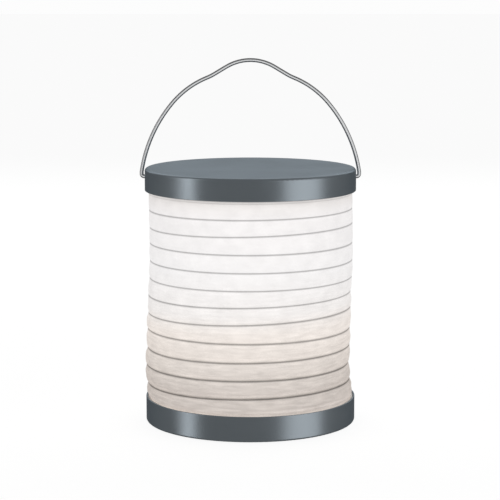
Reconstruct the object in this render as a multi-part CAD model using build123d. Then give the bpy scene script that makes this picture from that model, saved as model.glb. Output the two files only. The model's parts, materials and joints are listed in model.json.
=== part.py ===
from build123d import *

import os
from math import cos, radians, sin

# Accordion paper lantern: a round sheet-steel lid and base joined by a paper sleeve
# on wire hoops, a wire bail over the lid, and a battery lamp module under the lid.
# The lid lifts off the sleeve's top collar, and the sleeve folds down on the base.
# Millimetres. +Z is up, +X runs along the bail's pivot axis, and the origin is the
# centre of the plane that the four rubber feet stand on.

# Overall sizes
shell_diameter = 150.0  # lid and base, outside
lid_height = 15.8
base_height = 18.0
shade_gap = 148.0  # paper seen between the base's rim and the lid's rim
foot_height = 1.0
hoop_count = 11
bottom_panel = 11.5  # base rim to the first hoop, where the slack paper sags
top_panel = 12.7  # last hoop to the lid's rim

# Sheet steel of the lid and base
sheet = 1.2
lid_corner_radius = 2.0
base_corner_radius = 1.6
rim_radius = 0.4
stud_radius = 1.5
stud_count = 4

# Paper sleeve and hoops
paper_thickness = 0.3
hem_depth = 6.5  # paper gripped inside the lid and inside the base
hoop_wire = 1.4
hoop_clearance = 0.3

# Collars that carry the sleeve's ends, and the bands that clamp it to them
collar_wall = 2.35
collar_flange = 2.0
flange_reach = 11.4
top_collar_height = 7.0
clamp_wall = 1.15
clamp_setback = 0.6  # band's edges behind the rim and the collar's end
paper_grip = 0.15  # gap on each side of the paper
sliding_gap = 0.3  # lid's skirt over the top band

# Bail handle
bail_wire = 2.8
bail_gap = 0.8  # between the upright leg and the lid's side
pivot_drop = 6.3  # pivot axis below the lid's top
heel_radius = 1.8
leg_straight = 0.9
hip_radius = 8.0
dip_radius = 35.0
crown_radius = 33.0
flank_length = 10.0
flank_slope = 31.0  # degrees below level, down from the crown
shoulder_slope = 22.0
elbow_slope = 50.0
hip_slope = 81.0
shoulder_share = 0.53  # of the width between dip and hip
pin_length = 6.4  # inside the lid's side

# Pivot bushes
pin_clearance = 0.05
bush_wall = 0.6
bush_flange_radius = 3.0
bush_flange = 1.0
hole_clearance = 0.05

# Carrier, the moulding under the lid
plate_thickness = 2.0
plate_overhang = 0.7
carrier_gap = 0.5  # to the top collar's bore
carrier_skirt_wall = 3.0
carrier_skirt_depth = 6.2
notch_half_width = 5.0
notch_depth = 6.5
spacer_radius = 3.5
screw_clearance = 0.25
stud_inset = 5.9  # stud's axis inside the carrier's skirt
stud_reach = 3.6  # stud beyond the plate
seal_section = 1.0
seal_drop = 3.1
seal_gap = 0.25

# Nuts
nut_flats = 5.5
nut_height = 2.4
nut_bore_gap = 0.05

# Battery bay: three cells side by side, along Y
cell_count = 3
cell_diameter = 10.5
cell_length = 43.5
nub_radius = 1.9
nub_length = 1.0
cell_gap = 0.6
cell_side_gap = 0.6
cell_top_gap = 0.4
spring_room = 3.2
contact_room = 0.8
bay_wall = 1.6
bay_gap = 3.0  # bay to lamp drum
door_thickness = 1.6
door_ear_radius = 3.4
door_ear_reach = 2.6
contact_thickness = 0.4
contact_size = 8.0
door_screw_radius = 1.1
door_screw_length = 8.0

# Lamp drum, board and diffuser
drum_radius = 22.0
drum_wall = 1.6
drum_depth = 10.5
board_thickness = 1.6
board_gap = 0.2
board_recess = 0.6
post_radius = 2.2
post_inset = 4.4  # post's axis inside the drum's wall
post_count = 3
board_screw_radius = 0.9
board_screw_length = 6.0
led_size = (3.5, 2.8, 0.8)
led_circle = 9.0
led_count = 6
diffuser_wall = 1.5
diffuser_lap = 3.0
diffuser_straight = 3.0
diffuser_drop = 13.0

# Switch
pod_size = (14.0, 18.0, 8.0)
pod_wall = 1.4
pod_x = 42.0
switch_body = (8.0, 14.5, 5.0)
switch_gap = 0.1
knob_stem = (3.6, 4.0)
knob_pad = (7.0, 6.0, 1.6)
knob_travel = 3.0
knob_gap = 0.3
knob_drop = 2.6  # pad's face below the pod

# Leads
lead_radius = 0.5
lead_bend = 3.0
lead_height = 1.9  # centreline above the carrier plate
lead_hole_gap = 0.8

# Feet
foot_radius = 7.0
foot_inset = 15.0  # foot's axis inside the shell
foot_count = 4
foot_edge = 0.3

# Levels
pan_bottom = foot_height
pan_floor = pan_bottom + sheet
pan_top = pan_bottom + base_height
lid_bottom = pan_top + shade_gap
lid_top = lid_bottom + lid_height
lid_ceiling = lid_top - sheet
collar_top = lid_bottom + top_collar_height
plate_top = collar_top + plate_thickness
pivot_z = lid_top - pivot_drop
hoop_pitch = (shade_gap - bottom_panel - top_panel) / (hoop_count - 1)

# Radii, from the shell inwards
shell_radius = shell_diameter / 2
shell_bore = shell_radius - sheet
clamp_outer = shell_bore - sliding_gap
clamp_inner = clamp_outer - clamp_wall
shade_outer = clamp_inner - paper_grip
shade_inner = shade_outer - paper_thickness
collar_outer = shade_inner - paper_grip
collar_bore = collar_outer - collar_wall
hoop_radius = shade_inner - hoop_clearance - hoop_wire / 2
carrier_radius = collar_bore - carrier_gap
plate_radius = collar_outer + plate_overhang
base_stud_circle = collar_bore - flange_reach / 2
stud_circle = carrier_radius - carrier_skirt_wall - stud_inset
post_circle = drum_radius - drum_wall - post_inset
foot_circle = shell_radius - foot_inset

# Battery bay, from its cells outwards
cell_pitch = cell_diameter + cell_gap
bay_inner_x = (cell_count - 1) * cell_pitch + cell_diameter + 2 * cell_side_gap
bay_inner_y = cell_length + nub_length + spring_room + contact_room
bay_x = -(drum_radius + bay_gap + bay_wall + bay_inner_x / 2)
bay_y = bay_inner_y / 2 + bay_wall
cell_z = collar_top - cell_top_gap - cell_diameter / 2
door_top = cell_z - cell_diameter / 2 - cell_top_gap
board_bottom = collar_top - drum_depth + board_recess
board_top = board_bottom + board_thickness

STAND = (Align.CENTER, Align.CENTER, Align.MIN)


def disc(radius, bottom, top, x=0.0, y=0.0):
    """An upright cylinder between two levels."""
    return Pos(x, y, bottom) * Cylinder(radius, top - bottom, align=STAND)


def ring(outer, inner, bottom, top, x=0.0, y=0.0):
    """An upright tube between two levels."""
    return disc(outer, bottom, top, x, y) - disc(inner, bottom, top, x, y)


def block(size_x, size_y, bottom, top, x=0.0, y=0.0):
    """A box between two levels."""
    return Pos(x, y, bottom) * Box(size_x, size_y, top - bottom, align=STAND)


def circle_of(count, radius, first=45.0):
    """Points evenly spaced on a circle about the axis, starting at an angle."""
    angles = [radians(first + 360.0 * i / count) for i in range(count)]
    return [(radius * cos(a), radius * sin(a)) for a in angles]


def round_rim(solid, level, radius):
    """Rounds the circular edges of a rim that lie at one level."""
    return fillet(solid.edges().filter_by(GeomType.CIRCLE).filter_by_position(Axis.Z, level, level), radius)


def save(name, *solids):
    """Writes one node, as one solid or as a group of separate ones."""
    shapes = [s for part in solids for s in part.solids()]
    whole = shapes[0] if len(shapes) == 1 else Compound(children=shapes)
    export_step(whole, os.path.join("parts", name + ".step"))


def cup(bottom, top, open_up):
    """The lid's and base's drawn steel cup, with its corner and rim rounded."""
    shell = disc(shell_radius, bottom, top)
    if open_up:
        shell -= disc(shell_bore, bottom + sheet, top)
        corner, corner_radius, rim = bottom, base_corner_radius, top
    else:
        shell -= disc(shell_bore, bottom, top - sheet)
        corner, corner_radius, rim = top, lid_corner_radius, bottom
    return round_rim(round_rim(shell, corner, corner_radius), rim, rim_radius)


def weld_studs(radius, bottom, top):
    """Threaded studs welded to the sheet, on a circle."""
    return [disc(stud_radius, bottom, top, x, y) for x, y in circle_of(stud_count, radius)]


def hex_nuts(radius, bottom):
    """One nut on each stud."""
    across_corners = nut_flats / cos(radians(30)) / 2
    bore = stud_radius + nut_bore_gap
    nuts = []
    for x, y in circle_of(stud_count, radius):
        body = Pos(x, y, bottom) * extrude(RegularPolygon(across_corners, 6), nut_height)
        nuts.append(body - disc(bore, bottom, bottom + nut_height, x, y))
    return nuts


def base_pan():
    """The base: a shallow cup with studs that hold the bottom collar."""
    pan = cup(pan_bottom, pan_top, open_up=True)
    stud_top = pan_floor + collar_flange + stud_reach
    for stud in weld_studs(base_stud_circle, pan_bottom + sheet / 2, stud_top):
        pan += stud
    return pan


def bottom_collar():
    """The ring in the base that the sleeve's bottom hem is clamped to."""
    collar = ring(collar_outer, collar_bore, pan_floor, pan_top)
    collar += ring(collar_outer, collar_bore - flange_reach, pan_floor, pan_floor + collar_flange)
    for x, y in circle_of(stud_count, base_stud_circle):
        collar -= disc(stud_radius + screw_clearance, pan_floor, pan_top, x, y)
    return collar


def rubber_foot(x, y):
    """A round pad stuck under the base."""
    return round_rim(disc(foot_radius, 0, foot_height, x, y), 0, foot_edge)


def lid_shell():
    """The lid: a shallow cup with studs for the carrier and a hole each side for the bail."""
    shell = cup(lid_bottom, lid_top, open_up=False)
    for stud in weld_studs(stud_circle, collar_top - stud_reach, lid_ceiling + sheet / 2):
        shell += stud
    hole = bail_wire / 2 + pin_clearance + bush_wall + hole_clearance
    return shell - Pos(0, 0, pivot_z) * Rot(0, 90, 0) * Cylinder(hole, 2 * shell_radius)


def pivot_bush(side):
    """A flanged nylon bush in the lid's side, pushed in from inside."""
    bore = bail_wire / 2 + pin_clearance
    flange_face = shell_bore - bush_flange
    place = Pos(side * flange_face, 0, pivot_z) * Rot(0, side * 90, 0)
    length = shell_radius - flange_face
    barrel = place * Cylinder(bore + bush_wall, length, align=STAND) & disc(shell_radius, lid_bottom, lid_top)
    flange = place * Cylinder(bush_flange_radius, length, align=STAND) & disc(shell_bore, lid_bottom, lid_top)
    return barrel + flange - place * Cylinder(bore, length, align=STAND)


def bail_half_path():
    """Half of the bail's centreline, from the crown to the end of one pivot pin."""
    half_span = shell_radius + bail_gap + bail_wire / 2
    flank, shoulder, elbow, hip = (
        radians(a) for a in (flank_slope, shoulder_slope, elbow_slope, hip_slope)
    )
    width = half_span - crown_radius * sin(flank) - flank_length * cos(flank)
    width -= dip_radius * (sin(flank) - sin(shoulder)) + hip_radius * (1 - sin(hip))
    upper_radius = shoulder_share * width / (sin(elbow) - sin(shoulder))
    lower_radius = (1 - shoulder_share) * width / (sin(hip) - sin(elbow))
    rise = heel_radius + leg_straight + hip_radius * cos(hip)
    rise += lower_radius * (cos(elbow) - cos(hip)) + upper_radius * (cos(shoulder) - cos(elbow))
    rise += dip_radius * (cos(shoulder) - cos(flank)) + flank_length * sin(flank)
    rise += crown_radius * (1 - cos(flank))

    crown = JernArc((0, pivot_z + rise), (1, 0), crown_radius, -flank_slope)
    flank_line = Line(crown @ 1, crown @ 1 + (crown % 1) * flank_length)
    dip = JernArc(flank_line @ 1, flank_line % 1, dip_radius, flank_slope - shoulder_slope)
    upper = JernArc(dip @ 1, dip % 1, upper_radius, shoulder_slope - elbow_slope)
    lower = JernArc(upper @ 1, upper % 1, lower_radius, elbow_slope - hip_slope)
    hip_bend = JernArc(lower @ 1, lower % 1, hip_radius, hip_slope - 90)
    leg = Line(hip_bend @ 1, hip_bend @ 1 + (hip_bend % 1) * leg_straight)
    heel = JernArc(leg @ 1, leg % 1, heel_radius, -90)
    pin = Line(heel @ 1, (shell_radius - pin_length, pivot_z))
    return [crown, flank_line, dip, upper, lower, hip_bend, leg, heel, pin]


def bail_handle():
    """The bent wire bail: both halves of the path swept with the wire's section."""
    half = Wire([Plane.XZ.from_local_coords(edge) for piece in bail_half_path() for edge in piece.edges()])
    crown_section = Plane(origin=half @ 0, z_dir=half % 0) * Circle(bail_wire / 2)
    right = sweep(crown_section, path=half)
    return right + mirror(right, about=Plane.YZ)


def shade_sleeve():
    """The paper sleeve, as a plain tube from hem to hem."""
    return ring(shade_outer, shade_inner, pan_top - hem_depth, lid_bottom + hem_depth)


def shade_hoop(number):
    """One wire hoop inside the sleeve, counted from the base."""
    level = pan_top + bottom_panel + (number - 1) * hoop_pitch
    return Pos(0, 0, level) * Torus(hoop_radius, hoop_wire / 2)


def top_collar():
    """The ring that the sleeve's top hem is clamped to, and that the lid sits on."""
    return ring(collar_outer, collar_bore, lid_bottom, collar_top)


def top_clamp():
    """The band round the top hem."""
    return ring(clamp_outer, clamp_inner, lid_bottom + clamp_setback, collar_top - clamp_setback)


def bottom_clamp():
    """The band round the bottom hem."""
    return ring(clamp_outer, clamp_inner, pan_top - hem_depth, pan_top - clamp_setback)


def battery_bay():
    """The bay's four walls under the plate, with an ear for a door screw at each end."""
    outer_x = bay_inner_x + 2 * bay_wall
    walls = block(outer_x, 2 * bay_y, door_top, collar_top, bay_x)
    for x, y in door_screw_points():
        walls += disc(door_ear_radius, door_top, collar_top, x, y)
        neck_y = y - door_ear_reach / 2 * sign(y)
        walls += block(2 * door_ear_radius, door_ear_reach, door_top, collar_top, x, neck_y)
    walls -= block(bay_inner_x, bay_inner_y, door_top, collar_top, bay_x)
    for x, y in door_screw_points():
        walls -= disc(door_screw_radius, door_top, collar_top, x, y)
    return walls


def sign(value):
    """One, with the sign of the value."""
    return 1 if value > 0 else -1


def door_screw_points():
    """Centres of the two door screws, one past each end of the bay."""
    return [(bay_x, side * (bay_y + door_ear_reach)) for side in (-1, 1)]


def carrier_lead_points():
    """Where the leads pass through the plate: battery plus, battery minus, board, board."""
    end_y = bay_inner_y / 2 - hole_clearance - lead_radius
    first_x = bay_x + (cell_count - 1) / 2 * cell_pitch
    last_x = bay_x - (cell_count - 1) / 2 * cell_pitch
    board = led_circle
    return [(first_x, end_y), (last_x, -end_y), (-board, board), (board, board)]


def lamp_carrier():
    """The moulding that fills the lid: plate, skirt, battery bay, lamp drum and switch pod."""
    skirt_bottom = collar_top - carrier_skirt_depth
    carrier = disc(plate_radius, collar_top, plate_top)
    for side in (-1, 1):
        notch_x = side * (plate_radius + plate_radius - notch_depth) / 2
        carrier -= block(notch_depth, 2 * notch_half_width, collar_top, plate_top, notch_x)
    carrier += ring(carrier_radius, carrier_radius - carrier_skirt_wall, skirt_bottom, collar_top)
    carrier += battery_bay()
    carrier -= Pos(0, 0, collar_top - seal_drop) * Torus(seal_ring_radius(), seal_section + hole_clearance)
    carrier += ring(drum_radius, drum_radius - drum_wall, collar_top - drum_depth, collar_top)
    for x, y in circle_of(post_count, post_circle, first=90):
        carrier += ring(post_radius, board_screw_radius, board_top, collar_top, x, y)
    carrier += switch_pod()
    for x, y in circle_of(stud_count, stud_circle):
        carrier += disc(spacer_radius, plate_top, lid_ceiling, x, y)
        carrier -= disc(stud_radius + screw_clearance, collar_top, lid_ceiling, x, y)
    for x, y in carrier_lead_points() + switch_lead_points():
        carrier -= disc(lead_radius + lead_hole_gap, collar_top, plate_top, x, y)
    return carrier


def seal_ring_radius():
    """Centreline of the lid's seal, just clear of the top collar's bore."""
    return collar_bore - seal_gap - seal_section


def lid_seal():
    """The rubber ring between the carrier's skirt and the top collar."""
    return Pos(0, 0, collar_top - seal_drop) * Torus(seal_ring_radius(), seal_section)


def battery_cell(index):
    """A round cell along Y. Neighbours point opposite ways."""
    way = 1 if index % 2 == 0 else -1
    x = bay_x + ((cell_count - 1) / 2 - index) * cell_pitch
    can = Cylinder(cell_diameter / 2, cell_length, align=STAND)
    nub = Pos(0, 0, cell_length) * Cylinder(nub_radius, nub_length, align=STAND)
    cell = Pos(0, 0, -bay_inner_y / 2 + spring_room + contact_room / 2) * (can + nub)
    return Pos(x, 0, cell_z) * Rot(-way * 90, 0, 0) * cell


def contact_plates():
    """Flat contacts on the bay's end walls: one pair joins each two cells, one is single."""
    plates = []
    for way in (-1, 1):
        first = 0 if way < 0 else 1
        groups = [range(first, first + 2), range(2 - first * 2, 3 - first * 2)]
        for group in groups:
            xs = [bay_x + ((cell_count - 1) / 2 - i) * cell_pitch for i in group]
            width = max(xs) - min(xs) + contact_size
            y = way * (bay_inner_y - contact_thickness) / 2
            bottom = cell_z - contact_size / 2
            middle = (max(xs) + min(xs)) / 2
            plates.append(block(width, contact_thickness, bottom, bottom + contact_size, middle, y))
    return plates


def contact_springs():
    """Bent leaf springs that press on each cell's flat end."""
    springs = []
    reach = spring_room - contact_thickness
    for index in range(cell_count):
        way = 1 if index % 2 == 0 else -1
        x = bay_x + ((cell_count - 1) / 2 - index) * cell_pitch
        root = -bay_inner_y / 2 + contact_thickness
        half = contact_size / 2
        bend = Polyline((root, -half), (root + reach - contact_thickness, 0), (root, half))
        strip = extrude(trace(bend, contact_thickness), contact_size / 2, both=True)
        strip &= Pos(root + half, 0, 0) * Box(contact_size, contact_size, 2 * contact_size)
        springs.append(Pos(x, 0, cell_z) * Rot(0, 0, way * 90) * Rot(90, 0, 0) * strip)
    return springs


def battery_door():
    """The flat cover of the bay, with an ear at each end."""
    outer_x = bay_inner_x + 2 * bay_wall
    bottom = door_top - door_thickness
    door = block(outer_x, 2 * bay_y, bottom, door_top, bay_x)
    for x, y in door_screw_points():
        door += disc(door_ear_radius, bottom, door_top, x, y)
        neck_y = y - door_ear_reach / 2 * sign(y)
        door += block(2 * door_ear_radius, door_ear_reach, bottom, door_top, x, neck_y)
        door -= disc(door_screw_radius + screw_clearance, bottom, door_top, x, y)
    return door


def pan_head_screw(radius, length, seat, x, y):
    """A screw driven upwards, with its head's face on the seat level and a cross slot."""
    head_radius, head_height, slot_width = 1.9 * radius, 1.2 * radius, 0.45 * radius
    screw = disc(radius - nut_bore_gap, seat, seat + length, x, y)
    head = round_rim(disc(head_radius, seat - head_height, seat, x, y), seat - head_height, head_height / 3)
    for size_x, size_y in ((slot_width, 1.3 * head_radius), (1.3 * head_radius, slot_width)):
        head -= block(size_x, size_y, seat - head_height, seat - head_height / 2, x, y)
    return screw + head


def door_screws():
    """The two screws that hold the battery door."""
    seat = door_top - door_thickness
    return [pan_head_screw(door_screw_radius, door_screw_length, seat, x, y) for x, y in door_screw_points()]


def led_board():
    """The round circuit board in the lamp drum."""
    board = disc(drum_radius - drum_wall - board_gap, board_bottom, board_top)
    for x, y in circle_of(post_count, post_circle, first=90):
        board -= disc(board_screw_radius + screw_clearance, board_bottom, board_top, x, y)
    return board


def board_screws():
    """The screws that hold the board to its posts."""
    points = circle_of(post_count, post_circle, first=90)
    return [pan_head_screw(board_screw_radius, board_screw_length, board_bottom, x, y) for x, y in points]


def led_chips():
    """One chip at the centre and a ring of them round it, facing down."""
    size_x, size_y, height = led_size
    points = [(0.0, 0.0)] + circle_of(led_count, led_circle, first=30)
    return [block(size_x, size_y, board_bottom - height, board_bottom, x, y) for x, y in points]


def dome(radius, rim, straight, drop):
    """A short drum that ends in a spherical cap, below a rim level."""
    cap_radius = (radius**2 + drop**2) / (2 * drop)
    bottom = rim - straight
    sphere = Pos(0, 0, bottom - drop + cap_radius) * Sphere(cap_radius)
    return disc(radius, bottom, rim) + sphere & disc(radius, bottom - drop, rim)


def diffuser():
    """The frosted dome that snaps over the drum's mouth."""
    inner_radius = drum_radius + board_gap
    mouth = collar_top - drum_depth
    rim = mouth + diffuser_lap
    straight = diffuser_lap + diffuser_straight
    outside = dome(inner_radius + diffuser_wall, rim, straight, diffuser_drop)
    return outside - dome(inner_radius, rim, straight, diffuser_drop - diffuser_wall)


def switch_pod():
    """The box under the plate that holds the switch, slotted for its knob."""
    size_x, size_y, depth = pod_size
    bottom = collar_top - depth
    pod = block(size_x, size_y, bottom, collar_top, pod_x)
    pod -= block(size_x - 2 * pod_wall, size_y - 2 * pod_wall, bottom + pod_wall, collar_top, pod_x)
    stem_x, stem_y = knob_stem
    slot_y = stem_y + knob_travel + 2 * knob_gap
    return pod - block(stem_x + 2 * knob_gap, slot_y, bottom, bottom + pod_wall, pod_x)


def switch_unit():
    """The slide switch's own case, above the pod's floor."""
    size_x, size_y, height = switch_body
    bottom = collar_top - pod_size[2] + pod_wall + switch_gap
    return block(size_x, size_y, bottom, bottom + height, pod_x)


def switch_knob():
    """The thumb slider, shown at its on end. It slides along +Y to switch off."""
    stem_x, stem_y = knob_stem
    pad_x, pad_y, pad_height = knob_pad
    pod_bottom = collar_top - pod_size[2]
    top = pod_bottom + pod_wall
    y = -knob_travel / 2
    pad_bottom = pod_bottom - knob_drop
    knob = block(stem_x, stem_y, pad_bottom, top, pod_x, y)
    knob += block(pad_x, pad_y, pad_bottom, pad_bottom + pad_height, pod_x, y)
    rib = pad_y / 7
    for i in (-1, 0, 1):
        knob -= block(pad_x, rib, pad_bottom, pad_bottom + pad_height / 3, pod_x, y + 2 * i * rib)
    return knob


def switch_lead_points():
    """Where two leads pass down to the switch."""
    offset = switch_body[1] / 4
    return [(pod_x, -offset), (pod_x, offset)]


def lead(start, start_level, end, end_level):
    """An insulated lead that rises through the plate, crosses it and goes down again."""
    crossing = plate_top + lead_height
    route = FilletPolyline(
        (*start, start_level),
        (*start, crossing),
        (*end, crossing),
        (*end, end_level),
        radius=lead_bend,
    )
    return sweep(Plane(origin=route @ 0, z_dir=route % 0) * Circle(lead_radius), path=route)


def main():
    os.makedirs("parts", exist_ok=True)

    save("base_pan", base_pan())
    save("bottom_collar", bottom_collar())
    save("bottom_clamp", bottom_clamp())
    save("bottom_collar_nuts", *hex_nuts(base_stud_circle, pan_floor + collar_flange))
    for number, (x, y) in enumerate(circle_of(foot_count, foot_circle), start=1):
        save(f"rubber_foot_{number}", rubber_foot(x, y))

    save("shade_sleeve", shade_sleeve())
    for number in range(1, hoop_count + 1):
        save(f"shade_hoop_{number:02d}", shade_hoop(number))
    save("top_collar", top_collar())
    save("top_clamp", top_clamp())

    save("lid_shell", lid_shell())
    save("pivot_bush_left", pivot_bush(-1))
    save("pivot_bush_right", pivot_bush(1))
    save("bail_handle", bail_handle())

    save("lamp_carrier", lamp_carrier())
    save("carrier_nuts", *hex_nuts(stud_circle, collar_top - nut_height))
    save("lid_seal", lid_seal())
    for index in range(cell_count):
        save(f"battery_cell_{index + 1}", battery_cell(index))
    save("contact_plates", *contact_plates())
    save("contact_springs", *contact_springs())
    save("battery_door", battery_door())
    save("battery_door_screws", *door_screws())
    save("led_board", led_board())
    save("led_board_screws", *board_screws())
    save("led_chips", *led_chips())
    save("diffuser", diffuser())
    save("switch_body", switch_unit())
    save("switch_knob", switch_knob())

    plus, minus, board_plus, board_minus = carrier_lead_points()
    switch_in, switch_out = switch_lead_points()
    switch_top = collar_top - pod_size[2] + pod_wall + switch_gap + switch_body[2]
    contact_top = cell_z + contact_size / 2
    save("lead_battery_plus", lead(plus, contact_top, board_plus, board_top))
    save("lead_battery_minus", lead(minus, contact_top, switch_in, switch_top))
    save("lead_switch", lead(switch_out, switch_top, board_minus, board_top))


main()
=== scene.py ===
import json
from math import atan2, cos, exp, pi, radians, sin, tan

import bmesh
import bpy
from mathutils import Matrix, Vector, noise


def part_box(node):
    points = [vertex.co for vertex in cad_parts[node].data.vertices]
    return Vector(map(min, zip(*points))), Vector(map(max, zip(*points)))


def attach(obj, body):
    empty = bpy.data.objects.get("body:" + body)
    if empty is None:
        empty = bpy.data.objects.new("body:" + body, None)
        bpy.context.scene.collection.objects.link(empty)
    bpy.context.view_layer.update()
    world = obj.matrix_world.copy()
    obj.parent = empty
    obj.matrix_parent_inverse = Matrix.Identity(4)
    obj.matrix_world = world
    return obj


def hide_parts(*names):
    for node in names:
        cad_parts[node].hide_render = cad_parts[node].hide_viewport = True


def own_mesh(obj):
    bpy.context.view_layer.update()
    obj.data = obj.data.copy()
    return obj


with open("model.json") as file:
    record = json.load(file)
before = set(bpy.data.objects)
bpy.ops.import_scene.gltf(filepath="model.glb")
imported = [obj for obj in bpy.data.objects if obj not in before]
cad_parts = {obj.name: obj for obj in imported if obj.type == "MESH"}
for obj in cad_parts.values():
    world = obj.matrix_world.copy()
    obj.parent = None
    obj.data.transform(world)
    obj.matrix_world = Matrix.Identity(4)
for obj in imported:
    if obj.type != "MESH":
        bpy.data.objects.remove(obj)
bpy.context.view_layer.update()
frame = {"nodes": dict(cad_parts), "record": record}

# Accordion paper lantern. The steel, plastic and wire parts are the frame's own solids
# with their finishes added here; the paper sleeve and the hoops in it are made here.
# Metres, in the frame's axes: +Z up, front towards -Y, bail's pivots along X.

MM = 0.001
MERGE = 0.001 * MM  # vertices closer than this are one
nodes = frame["nodes"]

# Camera
VIEW_TARGET = Vector((0.0, 0.0, 0.1236))
VIEW_DISTANCE = 1.387
VIEW_ELEVATION = radians(8.32)
VIEW_LENS = 139.8
VIEW_SENSOR = 36.0
VIEW_SHIFT = -0.0008

# Levels and radii that the sleeve takes from the frame
HOOP_NODES = [f"shade_hoop_{number:02d}" for number in range(1, 12)]
HEM_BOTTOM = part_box("shade_sleeve")[0].z
HEM_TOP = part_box("shade_sleeve")[1].z
BASE_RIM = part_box("base_pan")[1].z
LID_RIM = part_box("lid_shell")[0].z
HOOP_LEVELS = [(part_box(name)[0].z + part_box(name)[1].z) / 2 for name in HOOP_NODES]
HOOP_WIRE = (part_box(HOOP_NODES[0])[1].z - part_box(HOOP_NODES[0])[0].z) / 2
HOOP_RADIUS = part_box(HOOP_NODES[0])[1].x - HOOP_WIRE
SHEET_INSET = 0.15 * MM  # middle of the sheet, inside the solid's face
HEM_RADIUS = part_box("shade_sleeve")[1].x - SHEET_INSET
LAMP_HEIGHT = 4 * MM  # the lamp's bright middle, above the diffuser's lowest point
LAMP = Vector((0.0, 0.0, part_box("diffuser")[0].z + LAMP_HEIGHT))

# Sleeve: how each hoop hangs in the paper, from the base up, in millimetres and degrees
HOOP_LIFT = (-0.1, 0.2, 0.4, 1.2, 2.1, 1.6, 0.8, 0.7, 0.8, 1.0, -0.1)
HOOP_SWAY = (-1.1, -2.1, -1.2, -1.1, -0.6, -0.7, 0.3, 0.6, 0.5, 0.5, 0.2)
HOOP_TILT = (1.10, 0.46, 0.87, 0.18, 1.85, 1.22, 0.45, 0.34, 0.20, 1.46, 0.59)

# Sleeve: the sheet. A place on it is counted in panels, from the base's rim up.
PANELS = len(HOOP_LEVELS) + 1
ROWS = (0.0, 0.06, 0.16, 0.30, 0.46, 0.62, 0.77, 0.89, 0.96)  # rows of a panel, crowded at its creases
ROUND = 320
HEM_BELOW = 0.6  # the lower hem's height, counted in panels, and the upper hem's
HEM_ABOVE = 0.5
PAPER_THICKNESS = 0.22 * MM
SEAM_ANGLE = pi / 2
SEAM_HALF_WIDTH = 4 * MM
SEAM_RISE = 0.25 * MM
SEAM_EDGE = 1 / 3  # share of the half width over which the lap rises
HEM_SHADOW_PLACE = 11.86  # place of the painted shadow where the hem's edge shows through the paper

# Sleeve: how far the paper stands out between two hoops, in millimetres
TAUT_BULGE = 0.3
SLACK_BULGE = 1.3
FULLER_LEFT = 0.3  # share that the bulge gains on the left, and loses on the right
UNEVEN = 0.45  # share by which it varies round a panel
FULL_LOW = 0.72  # under 1, so that a panel is fullest below its middle
BULGE_NOISE = (2.2, 3.1)  # cells of noise per radian round the sleeve, and per panel up it

# Sleeve: wrinkles, in millimetres
TAUT_WRINKLE = 0.12
SLACK_WRINKLE = 0.8
CRUMPLE_WRINKLE = 0.8
CRUMPLE_ANGLE = radians(-38)  # on the front right, measured from +X
CRUMPLE_SPREAD = radians(26)
CRUMPLE_PANELS = 1.5
LONG_FOLDS = (5.0, 3.4)  # cells of noise per radian round the sleeve, and per panel up it
SHORT_FOLDS = (19.0, 1.2)
SHORT_START = 40.0  # far enough up the noise that short folds don't repeat the long ones
SHEET_DIP = 0.1 * MM  # the most that a wrinkle sinks inside the hems

# Sleeve: light in the paper
SHEET_MM = (453.0, 148.0, 1.0)  # the sheet's length round the sleeve and its height, in millimetres
LAMP_SHARES = (0.2, 1.8)  # least and most light from the lamp, against a plain upright wall
GLOW_BY_HEIGHT = ((0.0, "a0968f"), (0.10, "a0968f"), (0.21, "b5aca5"), (0.29, "c3bab3"), (0.37, "ccc4be"),
                  (0.46, "cfcccb"), (0.66, "d3d2d3"), (0.92, "d2d0d1"), (1.0, "c6c2c0"))

# Stage
METAL_OUTSIDE = ("lid_shell", "base_pan", "bail_handle")
AIM = Vector((0.0, 0.0, 0.1))  # where the soft boxes point
FLOOR_REACH = 12.0
FLOOR_GLOW = 0.915  # the floor and the room, as the camera sees them
ROOM_GLOW = 0.98
ROOM_LIGHT = 0.21  # the room, as the pieces see it
FLOOR_TONE = 0.5
SHADOW_TONE = 0.2  # part of the floor's tone that takes shadows, as the camera sees it


# Helpers

def linear(code):
    """An sRGB hex colour as linear red, green, blue and alpha."""
    channels = [int(code[i:i + 2], 16) / 255 for i in (0, 2, 4)]
    return (*(c / 12.92 if c <= 0.04045 else ((c + 0.055) / 1.055) ** 2.4 for c in channels), 1.0)


def add(tree, kind, values=None, links=None, **settings):
    """Adds a node: its settings, its sockets' values, and links from other nodes' outputs.
    A socket goes by its name, or by its number where several share a name."""
    node = tree.nodes.new(kind)
    for name, value in settings.items():
        setattr(node, name, value)
    for socket, value in (values or {}).items():
        node.inputs[socket].default_value = value
    for socket, (source, output) in (links or {}).items():
        tree.links.new(source.outputs[output], node.inputs[socket])
    return node


def new_finish(name):
    """A material with an empty tree."""
    material = bpy.data.materials.new(name)
    material.use_nodes = True
    material.node_tree.nodes.clear()
    return material, material.node_tree


def close_finish(tree, shader):
    """Joins the shader to the material's output."""
    add(tree, "ShaderNodeOutputMaterial", links={"Surface": (shader, 0)})


def new_piece(name, bm, body):
    """Turns a bmesh into a smooth piece that rides on a body."""
    mesh = bpy.data.meshes.new(name)
    bm.to_mesh(mesh)
    bm.free()
    piece = bpy.data.objects.new(name, mesh)
    bpy.context.scene.collection.objects.link(piece)
    mesh.shade_smooth()
    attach(piece, body)
    return piece


def between(values, place):
    """A value read from a list at a fractional place."""
    index = min(max(int(place), 0), len(values) - 2)
    share = place - index
    return values[index] * (1 - share) + values[index + 1] * share


# Camera

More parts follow.
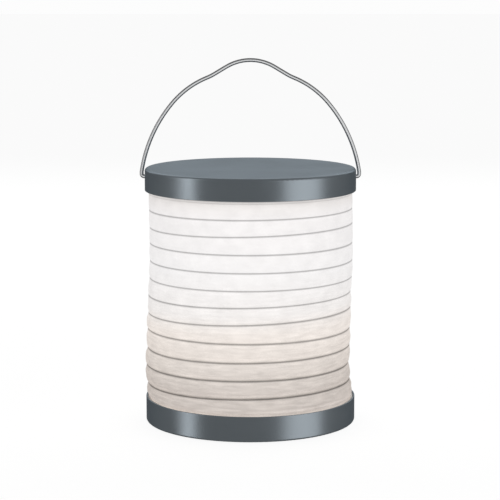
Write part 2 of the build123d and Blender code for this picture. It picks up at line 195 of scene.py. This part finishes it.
def place_camera():
    """A long lens in front, a little above level."""
    camera = bpy.data.objects.new("view", bpy.data.cameras.new("view"))
    bpy.context.scene.collection.objects.link(camera)
    back = Vector((0.0, -cos(VIEW_ELEVATION), sin(VIEW_ELEVATION)))
    camera.location = VIEW_TARGET + VIEW_DISTANCE * back
    camera.rotation_euler = back.to_track_quat("Z", "Y").to_euler()
    camera.data.lens = VIEW_LENS
    camera.data.sensor_width = VIEW_SENSOR
    camera.data.shift_x = VIEW_SHIFT
    bpy.context.scene.camera = camera


# Paper sleeve

def sleeve_places():
    """Levels and panel places of the sleeve's rows: 0 is the base's rim, PANELS is the lid's."""
    creases = [BASE_RIM] + HOOP_LEVELS + [LID_RIM]
    rows = [(HEM_BOTTOM, -HEM_BELOW), ((HEM_BOTTOM + BASE_RIM) / 2, -HEM_BELOW / 2)]
    for panel in range(PANELS):
        low, high = creases[panel], creases[panel + 1]
        rows += [(low + share * (high - low), panel + share) for share in ROWS]
    rows += [(LID_RIM, PANELS), ((LID_RIM + HEM_TOP) / 2, PANELS + HEM_ABOVE / 2)]
    rows += [(HEM_TOP, PANELS + HEM_ABOVE)]
    return rows


def slack(place):
    """How loose the paper is: none near the lid, all of it near the base."""
    return max(0.0, 1 - place / PANELS) ** 1.3


def noise_point(cells, angle, panels, start=0.0):
    """Where to read noise, on a round path, so that it closes once round the sleeve."""
    per_radian, per_panel = cells
    return Vector((per_radian * cos(angle), per_radian * sin(angle), per_panel * panels + start))


def bulge(place, angle):
    """How far the paper stands out between two hoops, fullest below the middle of its panel."""
    share = place % 1.0
    panel = int(place)
    loose = slack(panel + 0.5)
    depth = TAUT_BULGE + SLACK_BULGE * loose ** 1.5
    depth *= 1 - FULLER_LEFT * loose * cos(angle)
    uneven = noise.noise(noise_point(BULGE_NOISE, angle, panel))
    return depth * (1 + UNEVEN * uneven) * sin(pi * share ** FULL_LOW) * MM


def wrinkle(place, angle):
    """Fine folds that run round the sleeve, deeper in the slack paper and where it is crumpled."""
    share = place % 1.0
    free = sin(pi * share) ** 0.6
    fall, step, octaves = 0.8, 2.2, 3
    long_folds = noise.fractal(noise_point(LONG_FOLDS, angle, place), fall, step, octaves)
    short_folds = noise.noise(noise_point(SHORT_FOLDS, angle, place, SHORT_START))
    folds = long_folds * 0.6 + short_folds * 0.3
    crumple = exp(-((angle - CRUMPLE_ANGLE) / CRUMPLE_SPREAD) ** 2) * exp(-(place / CRUMPLE_PANELS) ** 2)
    return free * folds * (TAUT_WRINKLE + SLACK_WRINKLE * slack(place) + CRUMPLE_WRINKLE * crumple) * MM


def hang(place, level, angle):
    """Where a point of the plain tube comes to rest in the finished sleeve."""
    lifts = (0.0, *HOOP_LIFT, 0.0)
    sways = (0.0, *HOOP_SWAY, 0.0)
    tilts = (0.0, *HOOP_TILT, 0.0)
    radius = HEM_RADIUS
    if 0 < place < PANELS:
        radius += bulge(place, angle) + wrinkle(place, angle)
        radius = max(radius, HEM_RADIUS - SHEET_DIP)
    lap = max(0.0, 1 - abs(angle - SEAM_ANGLE) * HEM_RADIUS / SEAM_HALF_WIDTH)
    radius += SEAM_RISE * min(1.0, lap / SEAM_EDGE)
    place = min(max(place, 0), PANELS)
    x = radius * cos(angle) + between(sways, place) * MM
    lift = between(lifts, place) * MM + tan(radians(between(tilts, place))) * radius * cos(angle)
    return Vector((x, radius * sin(angle), level + lift))


def lamp_share(vert):
    """Light that the lamp puts on the inside of the paper here, against a plain upright wall."""
    to_lamp = (LAMP - vert.co).normalized()
    wall = Vector((-vert.co.x, -vert.co.y, 0)).normalized()
    share = -vert.normal.dot(to_lamp) / wall.dot(to_lamp)
    return min(max(share, LAMP_SHARES[0]), LAMP_SHARES[1])


def spin_tube(rows):
    """A plain tube with one ring of vertices at each row's level."""
    bm = bmesh.new()
    chain = [bm.verts.new((HEM_RADIUS, 0, level)) for level, _ in rows]
    edges = [bm.edges.new(pair) for pair in zip(chain, chain[1:])]
    bmesh.ops.spin(bm, geom=chain + edges, cent=(0, 0, 0), axis=(0, 0, 1), angle=2 * pi,
                   steps=ROUND, use_merge=True)
    bmesh.ops.remove_doubles(bm, verts=bm.verts, dist=MERGE)
    bmesh.ops.recalc_face_normals(bm, faces=bm.faces)
    for face in bm.faces:
        outward = Vector((*face.calc_center_median().xy, 0))
        if face.normal.dot(outward) < 0:
            face.normal_flip()
    return bm


def map_tube(bm, places, turn):
    """Lays the tube flat in a UV map: once round is 0 to 1, and the base's rim to the lid's is 0 to 1."""
    uv = bm.loops.layers.uv.new("sleeve")
    for face in bm.faces:
        angles = [turn[loop.vert] for loop in face.loops]
        wraps = max(angles) - min(angles) > pi
        for loop, angle in zip(face.loops, angles):
            if wraps and angle < 0:
                angle += 2 * pi
            loop[uv].uv = (angle / (2 * pi) + 0.5, places[loop.vert] / PANELS)


def paper_sleeve():
    """The creased tube, spun from its row levels, then hung hoop by hoop."""
    rows = sleeve_places()
    bm = spin_tube(rows)
    place_of = {round(level / MM, 3): place for level, place in rows}
    places = {vert: place_of[round(vert.co.z / MM, 3)] for vert in bm.verts}
    turn = {vert: atan2(vert.co.y, vert.co.x) for vert in bm.verts}
    map_tube(bm, places, turn)
    for vert in bm.verts:
        vert.co = hang(places[vert], vert.co.z, turn[vert])
    bm.normal_update()
    glow = bm.verts.layers.float.new("lamp_share")
    for vert in bm.verts:
        vert[glow] = lamp_share(vert)
    area = sum(face.calc_area() for face in bm.faces)

    piece = new_piece("paper_sleeve", bm, "base")
    wall = piece.modifiers.new("paper_thickness", "SOLIDIFY")
    wall.thickness = PAPER_THICKNESS
    wall.offset = 0
    piece.data.materials.append(washi_paper())
    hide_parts("shade_sleeve")
    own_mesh(piece)
    return piece


def hoop_ring(number):
    """One wire hoop, hanging with its own sway in the sleeve."""
    level = HOOP_LEVELS[number - 1]
    sway = HOOP_SWAY[number - 1] * MM
    bm = bmesh.new()
    upright = Matrix.Translation((HOOP_RADIUS, 0, level)) @ Matrix.Rotation(pi / 2, 4, "X")
    bmesh.ops.create_circle(bm, segments=12, radius=HOOP_WIRE, matrix=upright)
    bmesh.ops.spin(bm, geom=bm.verts[:] + bm.edges[:], cent=(0, 0, 0), axis=(0, 0, 1), angle=2 * pi,
                   steps=128, use_merge=True)
    bmesh.ops.remove_doubles(bm, verts=bm.verts, dist=MERGE)
    bmesh.ops.recalc_face_normals(bm, faces=bm.faces)
    bmesh.ops.translate(bm, verts=bm.verts, vec=(sway, 0, 0))
    ring = new_piece(f"hoop_ring_{number:02d}", bm, f"hoop_{number:02d}")
    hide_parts(HOOP_NODES[number - 1])
    return ring


# Finishes

def painted_hoop_shadows(tree, panels):
    """The fine shadow that each hoop throws on the paper: wider, and with a lit fold over it, where
    the paper is slack. The hem shows in the same way under the lid."""
    share = add(tree, "ShaderNodeMath", links={0: (panels, 0)}, operation="FRACT")
    loose = add(tree, "ShaderNodeMapRange",
                {"From Min": 1.0, "From Max": 7.0, "To Min": 1.0, "To Max": 0.0}, {"Value": (panels, 0)})
    width = add(tree, "ShaderNodeMapRange", {"To Min": 0.06, "To Max": 0.13}, {"Value": (loose, 0)})
    over = add(tree, "ShaderNodeMapRange", {"From Min": 0.0, "To Min": 1.0, "To Max": 0.0},
               {"Value": (share, 0), "From Max": (width, 0)})
    under = add(tree, "ShaderNodeMapRange",
                {"From Min": 0.91, "From Max": 1.0, "To Min": 0.0, "To Max": 1.0}, {"Value": (share, 0)})
    shadow = add(tree, "ShaderNodeMath", links={0: (over, 0), 1: (under, 0)}, operation="MAXIMUM")
    depth = add(tree, "ShaderNodeMapRange", {"To Min": 0.55, "To Max": 0.78}, {"Value": (loose, 0)})
    above_rim = add(tree, "ShaderNodeMapRange",
                    {"From Min": 0.2, "From Max": 0.4, "To Min": 0.0, "To Max": 1.0}, {"Value": (panels, 0)})
    depth = add(tree, "ShaderNodeMath", links={0: (depth, 0), 1: (above_rim, 0)}, operation="MULTIPLY")
    shadow = add(tree, "ShaderNodeMath", links={0: (shadow, 0), 1: (depth, 0)}, operation="MULTIPLY")

    # painted shadow of the hem's edge, just under the lid
    from_hem = add(tree, "ShaderNodeMath", {1: HEM_SHADOW_PLACE}, {0: (panels, 0)}, operation="SUBTRACT")
    from_hem = add(tree, "ShaderNodeMath", links={0: (from_hem, 0)}, operation="ABSOLUTE")
    hem_shadow = add(tree, "ShaderNodeMapRange",
              {"From Min": 0.0, "From Max": 0.05, "To Min": 0.25, "To Max": 0.0}, {"Value": (from_hem, 0)})
    shadow = add(tree, "ShaderNodeMath", links={0: (shadow, 0), 1: (hem_shadow, 0)}, operation="ADD")

    # painted light on the paper's fold just above each hoop, in the slack panels
    from_fold = add(tree, "ShaderNodeMath", {1: 0.2}, {0: (share, 0)}, operation="SUBTRACT")
    from_fold = add(tree, "ShaderNodeMath", links={0: (from_fold, 0)}, operation="ABSOLUTE")
    fold = add(tree, "ShaderNodeMapRange",
               {"From Min": 0.0, "From Max": 0.09, "To Min": 1.09, "To Max": 1.0}, {"Value": (from_fold, 0)})
    lit_fold = add(tree, "ShaderNodeMix", {2: 1.0}, {0: (loose, 0), 3: (fold, 0)})
    return add(tree, "ShaderNodeMath", links={0: (lit_fold, 0), 1: (shadow, 0)}, operation="SUBTRACT")


def paper_tone(tree, flat, panels):
    """Light and dark in the sheet: its own clouds of pulp 11 mm across and fibres of 1.4 mm, and painted
    shade and light of fine folds, 14 mm long and 2 mm high, strongest in the slack paper near the base."""
    cloud = add(tree, "ShaderNodeTexNoise", {"Scale": 0.09, "Detail": 3.0}, {"Vector": (flat, 0)})
    fibre = add(tree, "ShaderNodeTexNoise", {"Scale": 0.7, "Detail": 4.0, "Roughness": 0.7},
                {"Vector": (flat, 0)})
    drawn_out = add(tree, "ShaderNodeMapping", {"Scale": (0.07, 0.55, 1.0)}, {"Vector": (flat, 0)})
    folds = add(tree, "ShaderNodeTexNoise", {"Scale": 1.0, "Detail": 3.0, "Distortion": 0.5},
                {"Vector": (drawn_out, 0)})
    cloudy = add(tree, "ShaderNodeMapRange",
                 {"From Min": 0.3, "From Max": 0.7, "To Min": 0.96, "To Max": 1.04}, {"Value": (cloud, 0)})
    fibrous = add(tree, "ShaderNodeMapRange",
                  {"From Min": 0.3, "From Max": 0.7, "To Min": 0.97, "To Max": 1.03}, {"Value": (fibre, 0)})
    # painted shade and light of the fine folds, stronger towards the base
    fold_shade = add(tree, "ShaderNodeMapRange",
                 {"From Min": 0.3, "From Max": 0.7, "To Min": -1.0, "To Max": 1.0}, {"Value": (folds, 0)})
    strength = add(tree, "ShaderNodeMapRange",
                   {"From Min": 0.0, "From Max": 8.0, "To Min": 0.13, "To Max": 0.015},
                   {"Value": (panels, 0)})
    fold_shade = add(tree, "ShaderNodeMath", {2: 1.0}, {0: (fold_shade, 0), 1: (strength, 0)},
                 operation="MULTIPLY_ADD")
    # the tone holds the pulp's and fibres' own colour and the painted fold shade
    tone = add(tree, "ShaderNodeMath", links={0: (cloudy, 0), 1: (fibrous, 0)}, operation="MULTIPLY")
    tone = add(tree, "ShaderNodeMath", links={0: (tone, 0), 1: (fold_shade, 0)}, operation="MULTIPLY")
    return fibre, tone


def glow_by_height(tree, height):
    """The colour of the lit paper, from the base's rim to the lid's."""
    glow = add(tree, "ShaderNodeValToRGB", links={"Fac": height})
    ramp = glow.color_ramp
    for position, code in GLOW_BY_HEIGHT[1:-1]:
        ramp.elements.new(position).color = linear(code)
    for index in (0, -1):
        ramp.elements[index].position = GLOW_BY_HEIGHT[index][0]
        ramp.elements[index].color = linear(GLOW_BY_HEIGHT[index][1])
    return glow


def washi_paper():
    """Thin white fibre paper, lit through by the lamp: it glows, most in the upper middle."""
    material, tree = new_finish("washi_paper")
    uv = add(tree, "ShaderNodeUVMap", uv_map="sleeve")
    split = add(tree, "ShaderNodeSeparateXYZ", links={"Vector": (uv, "UV")})
    height = glow_by_height(tree, (split, "Y"))
    panels = add(tree, "ShaderNodeMath", {1: float(PANELS)}, {0: (split, "Y")}, operation="MULTIPLY")
    # painted shadows of the hoops and of the hem, as fine dark lines on the paper
    line = painted_hoop_shadows(tree, panels)
    flat = add(tree, "ShaderNodeMapping", {"Scale": SHEET_MM}, {"Vector": (uv, "UV")})
    fibre, tone = paper_tone(tree, flat, panels)
    lamp = add(tree, "ShaderNodeAttribute", attribute_name="lamp_share")
    least, most = LAMP_SHARES
    lit = add(tree, "ShaderNodeMapRange",
              {"From Min": least, "From Max": most, "To Min": 0.9, "To Max": 1.1}, {"Value": (lamp, "Fac")})
    # the sheet's tone times the painted hoop and hem shadows, with the painted fold shade in the tone; it
    # darkens the glow
    surface = add(tree, "ShaderNodeMath", links={0: (tone, 0), 1: (line, 0)}, operation="MULTIPLY")
    shade = add(tree, "ShaderNodeMath", links={0: (surface, 0), 1: (lit, 0)}, operation="MULTIPLY")
    glow = add(tree, "ShaderNodeVectorMath", links={0: (height, 0), "Scale": (shade, 0)}, operation="SCALE")
    # the paper's colour, with the painted hoop shadows and fold shade in it
    body = add(tree, "ShaderNodeVectorMath", {0: linear("f0ece8")[:3]}, {"Scale": (surface, 0)},
               operation="SCALE")
    bump = add(tree, "ShaderNodeBump", {"Strength": 0.25, "Distance": 0.1 * MM}, {"Height": (fibre, 0)})
    shader = add(tree, "ShaderNodeBsdfPrincipled", {"Roughness": 0.9, "IOR": 1.5, "Emission Strength": 1.0},
                 {"Base Color": (body, 0), "Emission Color": (glow, 0), "Normal": (bump, 0)})
    close_finish(tree, shader)
    return material


def grained(name, light, dark, patch_mm, grain_mm, depth_mm, roughness, metallic=0.0, **extra):
    """A finish whose colour drifts between two tones, in patches of one size, and whose skin has a
    fine grain of another. Real grain is 0.05 to 0.2 mm; it is drawn coarser, so that it shows."""
    material, tree = new_finish(name)
    place = add(tree, "ShaderNodeTexCoord")
    patch = add(tree, "ShaderNodeTexNoise", {"Scale": 1 / (patch_mm * MM), "Detail": 3.0},
                {"Vector": (place, "Object")})
    grain = add(tree, "ShaderNodeTexNoise", {"Scale": 1 / (grain_mm * MM), "Detail": 2.0},
                {"Vector": (place, "Object")})
    tone = add(tree, "ShaderNodeMix", {6: linear(dark), 7: linear(light)}, {0: (patch, 0)},
               data_type="RGBA")
    rough = add(tree, "ShaderNodeMapRange",
                {"From Min": 0.3, "From Max": 0.7, "To Min": 0.88 * roughness, "To Max": 1.12 * roughness},
                {"Value": (patch, 0)})
    bump = add(tree, "ShaderNodeBump", {"Strength": 0.5, "Distance": depth_mm * MM}, {"Height": (grain, 0)})
    values = {"Metallic": metallic}
    values.update({key.replace("_", " "): value for key, value in extra.items()})
    shader = add(tree, "ShaderNodeBsdfPrincipled", values,
                 {"Base Color": (tone, 2), "Roughness": (rough, 0), "Normal": (bump, 0)})
    close_finish(tree, shader)
    return material


def drawn_wire():
    """Bright drawn steel: streaks along the wire, left by the die, which stretch its highlights.
    Real die lines are about 0.05 mm apart; they are drawn at 0.3 mm, so that they show."""
    material, tree = new_finish("bright_drawn_steel")
    place = add(tree, "ShaderNodeTexCoord")
    along, across = 1 / (50 * MM), 1 / (0.3 * MM)
    stretch = add(tree, "ShaderNodeMapping", {"Scale": (along, across, along)},
                  {"Vector": (place, "Object")})
    streak = add(tree, "ShaderNodeTexNoise", {"Scale": 1.0, "Detail": 2.0}, {"Vector": (stretch, 0)})
    tone = add(tree, "ShaderNodeMix", {6: linear("a8a9aa"), 7: linear("dadbdc")}, {0: (streak, 0)},
               data_type="RGBA")
    rough = add(tree, "ShaderNodeMapRange",
                {"From Min": 0.3, "From Max": 0.7, "To Min": 0.16, "To Max": 0.3}, {"Value": (streak, 0)})
    shader = add(tree, "ShaderNodeBsdfPrincipled", {"Metallic": 1.0},
                 {"Base Color": (tone, 2), "Roughness": (rough, 0)})
    close_finish(tree, shader)
    return material


def lit_plastic(name, light, dark, strength, roughness):
    """A frosted or phosphor surface that the lamp lights from behind."""
    patch_mm, grain_mm, depth_mm = 8, 0.3, 0.01
    return grained(name, light, dark, patch_mm, grain_mm, depth_mm, roughness,
                   Emission_Color=linear(light), Emission_Strength=strength)


def finishes():
    """Every slot's finish: what it is made of and how, and what that gives the eye. The numbers are
    the patches', the grain's and the grain depth's millimetres, the roughness and the metallic."""
    return {
        # Stoved spray paint with aluminium flake: a dark satin skin with long soft highlights
        "slate_paint": grained("satin_slate_paint", "acb5bc", "a1abb2", 30, 0.5, 0.004, 0.33, 0.9,
                               Specular_Tint=linear("b4bcc2")),
        "bright_wire": drawn_wire(),
        # Dipped coating on thin wire: slightly lumpy and half gloss
        "hoop_wire": grained("white_coated_wire", "dcd8d0", "c8c4bc", 10, 0.5, 0.02, 0.5),
        # Injection moulded in a lightly sparked tool: even soft sheen
        "collar_plastic": grained("moulded_white_polypropylene", "dcdad4", "d2d0ca", 25, 0.6, 0.01, 0.45),
        # Injection moulded in a smoother tool: a clearer sheen than the collars'
        "carrier_plastic": grained("moulded_white_abs", "dad9d6", "d0cfcb", 25, 0.4, 0.01, 0.38),
        # Coil-coated steel strip: flat colour with a faint orange peel
        "clamp_band": grained("white_coated_strip", "d6d5d2", "cac9c6", 12, 0.8, 0.01, 0.4),
        # Moulded rubber: matt and dusty black
        "foot_rubber": grained("moulded_black_rubber", "2a2a2c", "1e1e20", 4, 0.3, 0.03, 0.8),
        # Softer rubber: black with a dull shine
        "seal_rubber": grained("soft_black_seal", "262628", "1a1a1c", 4, 0.4, 0.02, 0.65),
        # Moulded nylon: waxy mid grey
        "bush_nylon": grained("grey_nylon", "5c5f63", "505357", 5, 0.3, 0.01, 0.42),
        # Barrel plated zinc on steel: bluish, bright and slightly mottled
        "zinc_steel": grained("zinc_plated_steel", "c4c8cd", "aab0b8", 1.5, 0.3, 0.01, 0.3, 1.0),
        # Foil wrapped round the cell: a plain metal shine, faintly creased
        "cell_jacket": grained("plain_foil_jacket", "a9adb3", "989ca3", 6, 0.6, 0.005, 0.28, 0.8),
        # Nickel plated spring strip: warm and bright
        "contact_metal": grained("nickel_plated_spring_strip", "cfcbc2", "b8b4ab", 2, 0.3, 0.005, 0.25, 1.0),
        # Solder mask over glass laminate: smooth, white and half gloss
        "board_laminate": grained("white_solder_mask", "e2e5e0", "d4d8d2", 3, 0.5, 0.01, 0.35),
        # Phosphor over a lit chip: a small bright warm patch
        "led_package": lit_plastic("yellow_phosphor", "fff0c4", "f6dc90", 4.0, 0.5),
        # Opal acrylic over the lamp: a soft warm glow with no bright spot
        "diffuser_plastic": lit_plastic("opal_frosted_acrylic", "fff4e2", "f6ead6", 0.55, 0.6),
        # Moulded in a matt tool: plain black
        "switch_plastic": grained("black_moulded_abs", "2b2b2d", "222224", 6, 0.4, 0.02, 0.5),
        # Extruded insulation: smooth and strongly coloured
        "lead_red": grained("red_pvc_insulation", "a01c1c", "8a1616", 3, 0.3, 0.01, 0.45),
        "lead_black": grained("black_pvc_insulation", "262626", "1c1c1c", 3, 0.3, 0.01, 0.45),
    }


def dress(rings):
    """Gives every kept solid and hoop its finish."""
    made = finishes()
    slots = {part["node"]: part["material_slot"] for part in frame["record"]["subparts"]}
    for name, node in nodes.items():
        if name not in HOOP_NODES and name != "shade_sleeve":
            for material_slot in node.material_slots:
                material_slot.material = made[slots[name]]
    for ring in rings:
        ring.data.materials.append(made["hoop_wire"])


# Stage

def floor():
    """A plain pale floor."""
    bm = bmesh.new()
    bmesh.ops.create_grid(bm, x_segments=1, y_segments=1, size=FLOOR_REACH)
    mesh = bpy.data.meshes.new("floor")
    bm.to_mesh(mesh)
    bm.free()
    piece = bpy.data.objects.new("floor", mesh)
    bpy.context.scene.collection.objects.link(piece)
    material, tree = new_finish("pale_floor")
    shine = add(tree, "ShaderNodeEmission", {"Color": (1, 1, 1, 1), "Strength": FLOOR_GLOW})
    matt = add(tree, "ShaderNodeBsdfDiffuse", {"Color": (SHADOW_TONE, SHADOW_TONE, SHADOW_TONE, 1)})
    seen = add(tree, "ShaderNodeAddShader", links={0: (shine, 0), 1: (matt, 0)})
    plain = add(tree, "ShaderNodeBsdfDiffuse", {"Color": (FLOOR_TONE, FLOOR_TONE, FLOOR_TONE, 1)})
    path = add(tree, "ShaderNodeLightPath")
    shader = add(tree, "ShaderNodeMixShader",
                 links={0: (path, "Is Camera Ray"), 1: (plain, 0), 2: (seen, 0)})
    close_finish(tree, shader)
    mesh.materials.append(material)
    piece.visible_glossy = False


def soft_box(name, azimuth, slope, distance, width, height, power, only=(), without=()):
    """A soft box that faces the lantern's middle. Azimuth is from the front, positive to the right,
    and slope is above level. It may light only some pieces, or leave some out."""
    light = bpy.data.lights.new(name, "AREA")
    light.shape = "RECTANGLE"
    light.size = width
    light.size_y = height
    light.energy = power
    lamp = bpy.data.objects.new(name, light)
    bpy.context.scene.collection.objects.link(lamp)
    turn, rise = radians(azimuth), radians(slope)
    out = Vector((sin(turn) * cos(rise), -cos(turn) * cos(rise), sin(rise)))
    lamp.location = out * distance + AIM
    lamp.rotation_euler = out.to_track_quat("Z", "Y").to_euler()
    lamp.visible_camera = False
    group = bpy.data.collections.new(name + "_lights")
    lamp.light_linking.receiver_collection = group
    for piece in (*only, *without):
        group.objects.link(piece)
    for link in group.collection_objects:
        link.light_linking.link_state = "INCLUDE" if only else "EXCLUDE"


def room():
    """A grey room that lights the pieces from all round and looks pale behind them."""
    world = bpy.data.worlds.new("studio")
    bpy.context.scene.world = world
    world.use_nodes = True
    tree = world.node_tree
    tree.nodes.clear()
    grey = add(tree, "ShaderNodeBackground", {"Color": (1, 1, 1, 1), "Strength": ROOM_LIGHT})
    pale = add(tree, "ShaderNodeBackground", {"Color": (1, 1, 1, 1), "Strength": ROOM_GLOW})
    path = add(tree, "ShaderNodeLightPath")
    both = add(tree, "ShaderNodeMixShader", links={0: (path, "Is Camera Ray"), 1: (grey, 0), 2: (pale, 0)})
    add(tree, "ShaderNodeOutputWorld", links={"Surface": (both, 0)})


def studio(sleeve):
    """Soft boxes on each side and high behind for the metal, and fills for the paper, for the
    plastics inside and for the wire."""
    bail = nodes["bail_handle"]
    glowing = [sleeve, nodes["diffuser"]]
    plastics = [node for name, node in nodes.items() if name not in METAL_OUTSIDE and node not in glowing]
    # Azimuth and slope in degrees; distance, width and height in metres; power in watts
    soft_box("left_strip", -70, 0, 1.2, 0.34, 1.6, 2.2, without=glowing)
    soft_box("right_box", 58, 0, 1.2, 0.95, 1.6, 4.2, without=glowing)
    soft_box("back_box", 180, 38, 1.5, 2.4, 1.4, 7.5, without=[*glowing, *plastics, bail])
    soft_box("paper_fill", 0, 48, 1.5, 1.0, 1.0, 4.9, only=glowing)
    soft_box("plastic_front", 0, 20, 1.5, 1.6, 1.6, 9.0, only=plastics)
    soft_box("plastic_back", 180, 20, 1.5, 1.6, 1.6, 9.0, only=plastics)
    soft_box("wire_fill", 0, 0, 1.2, 1.6, 1.6, 8.0, only=[bail])


place_camera()
sleeve = paper_sleeve()
dress([hoop_ring(number) for number in range(1, PANELS)])
floor()
room()
studio(sleeve)
bpy.context.scene.view_settings.view_transform = "Standard"
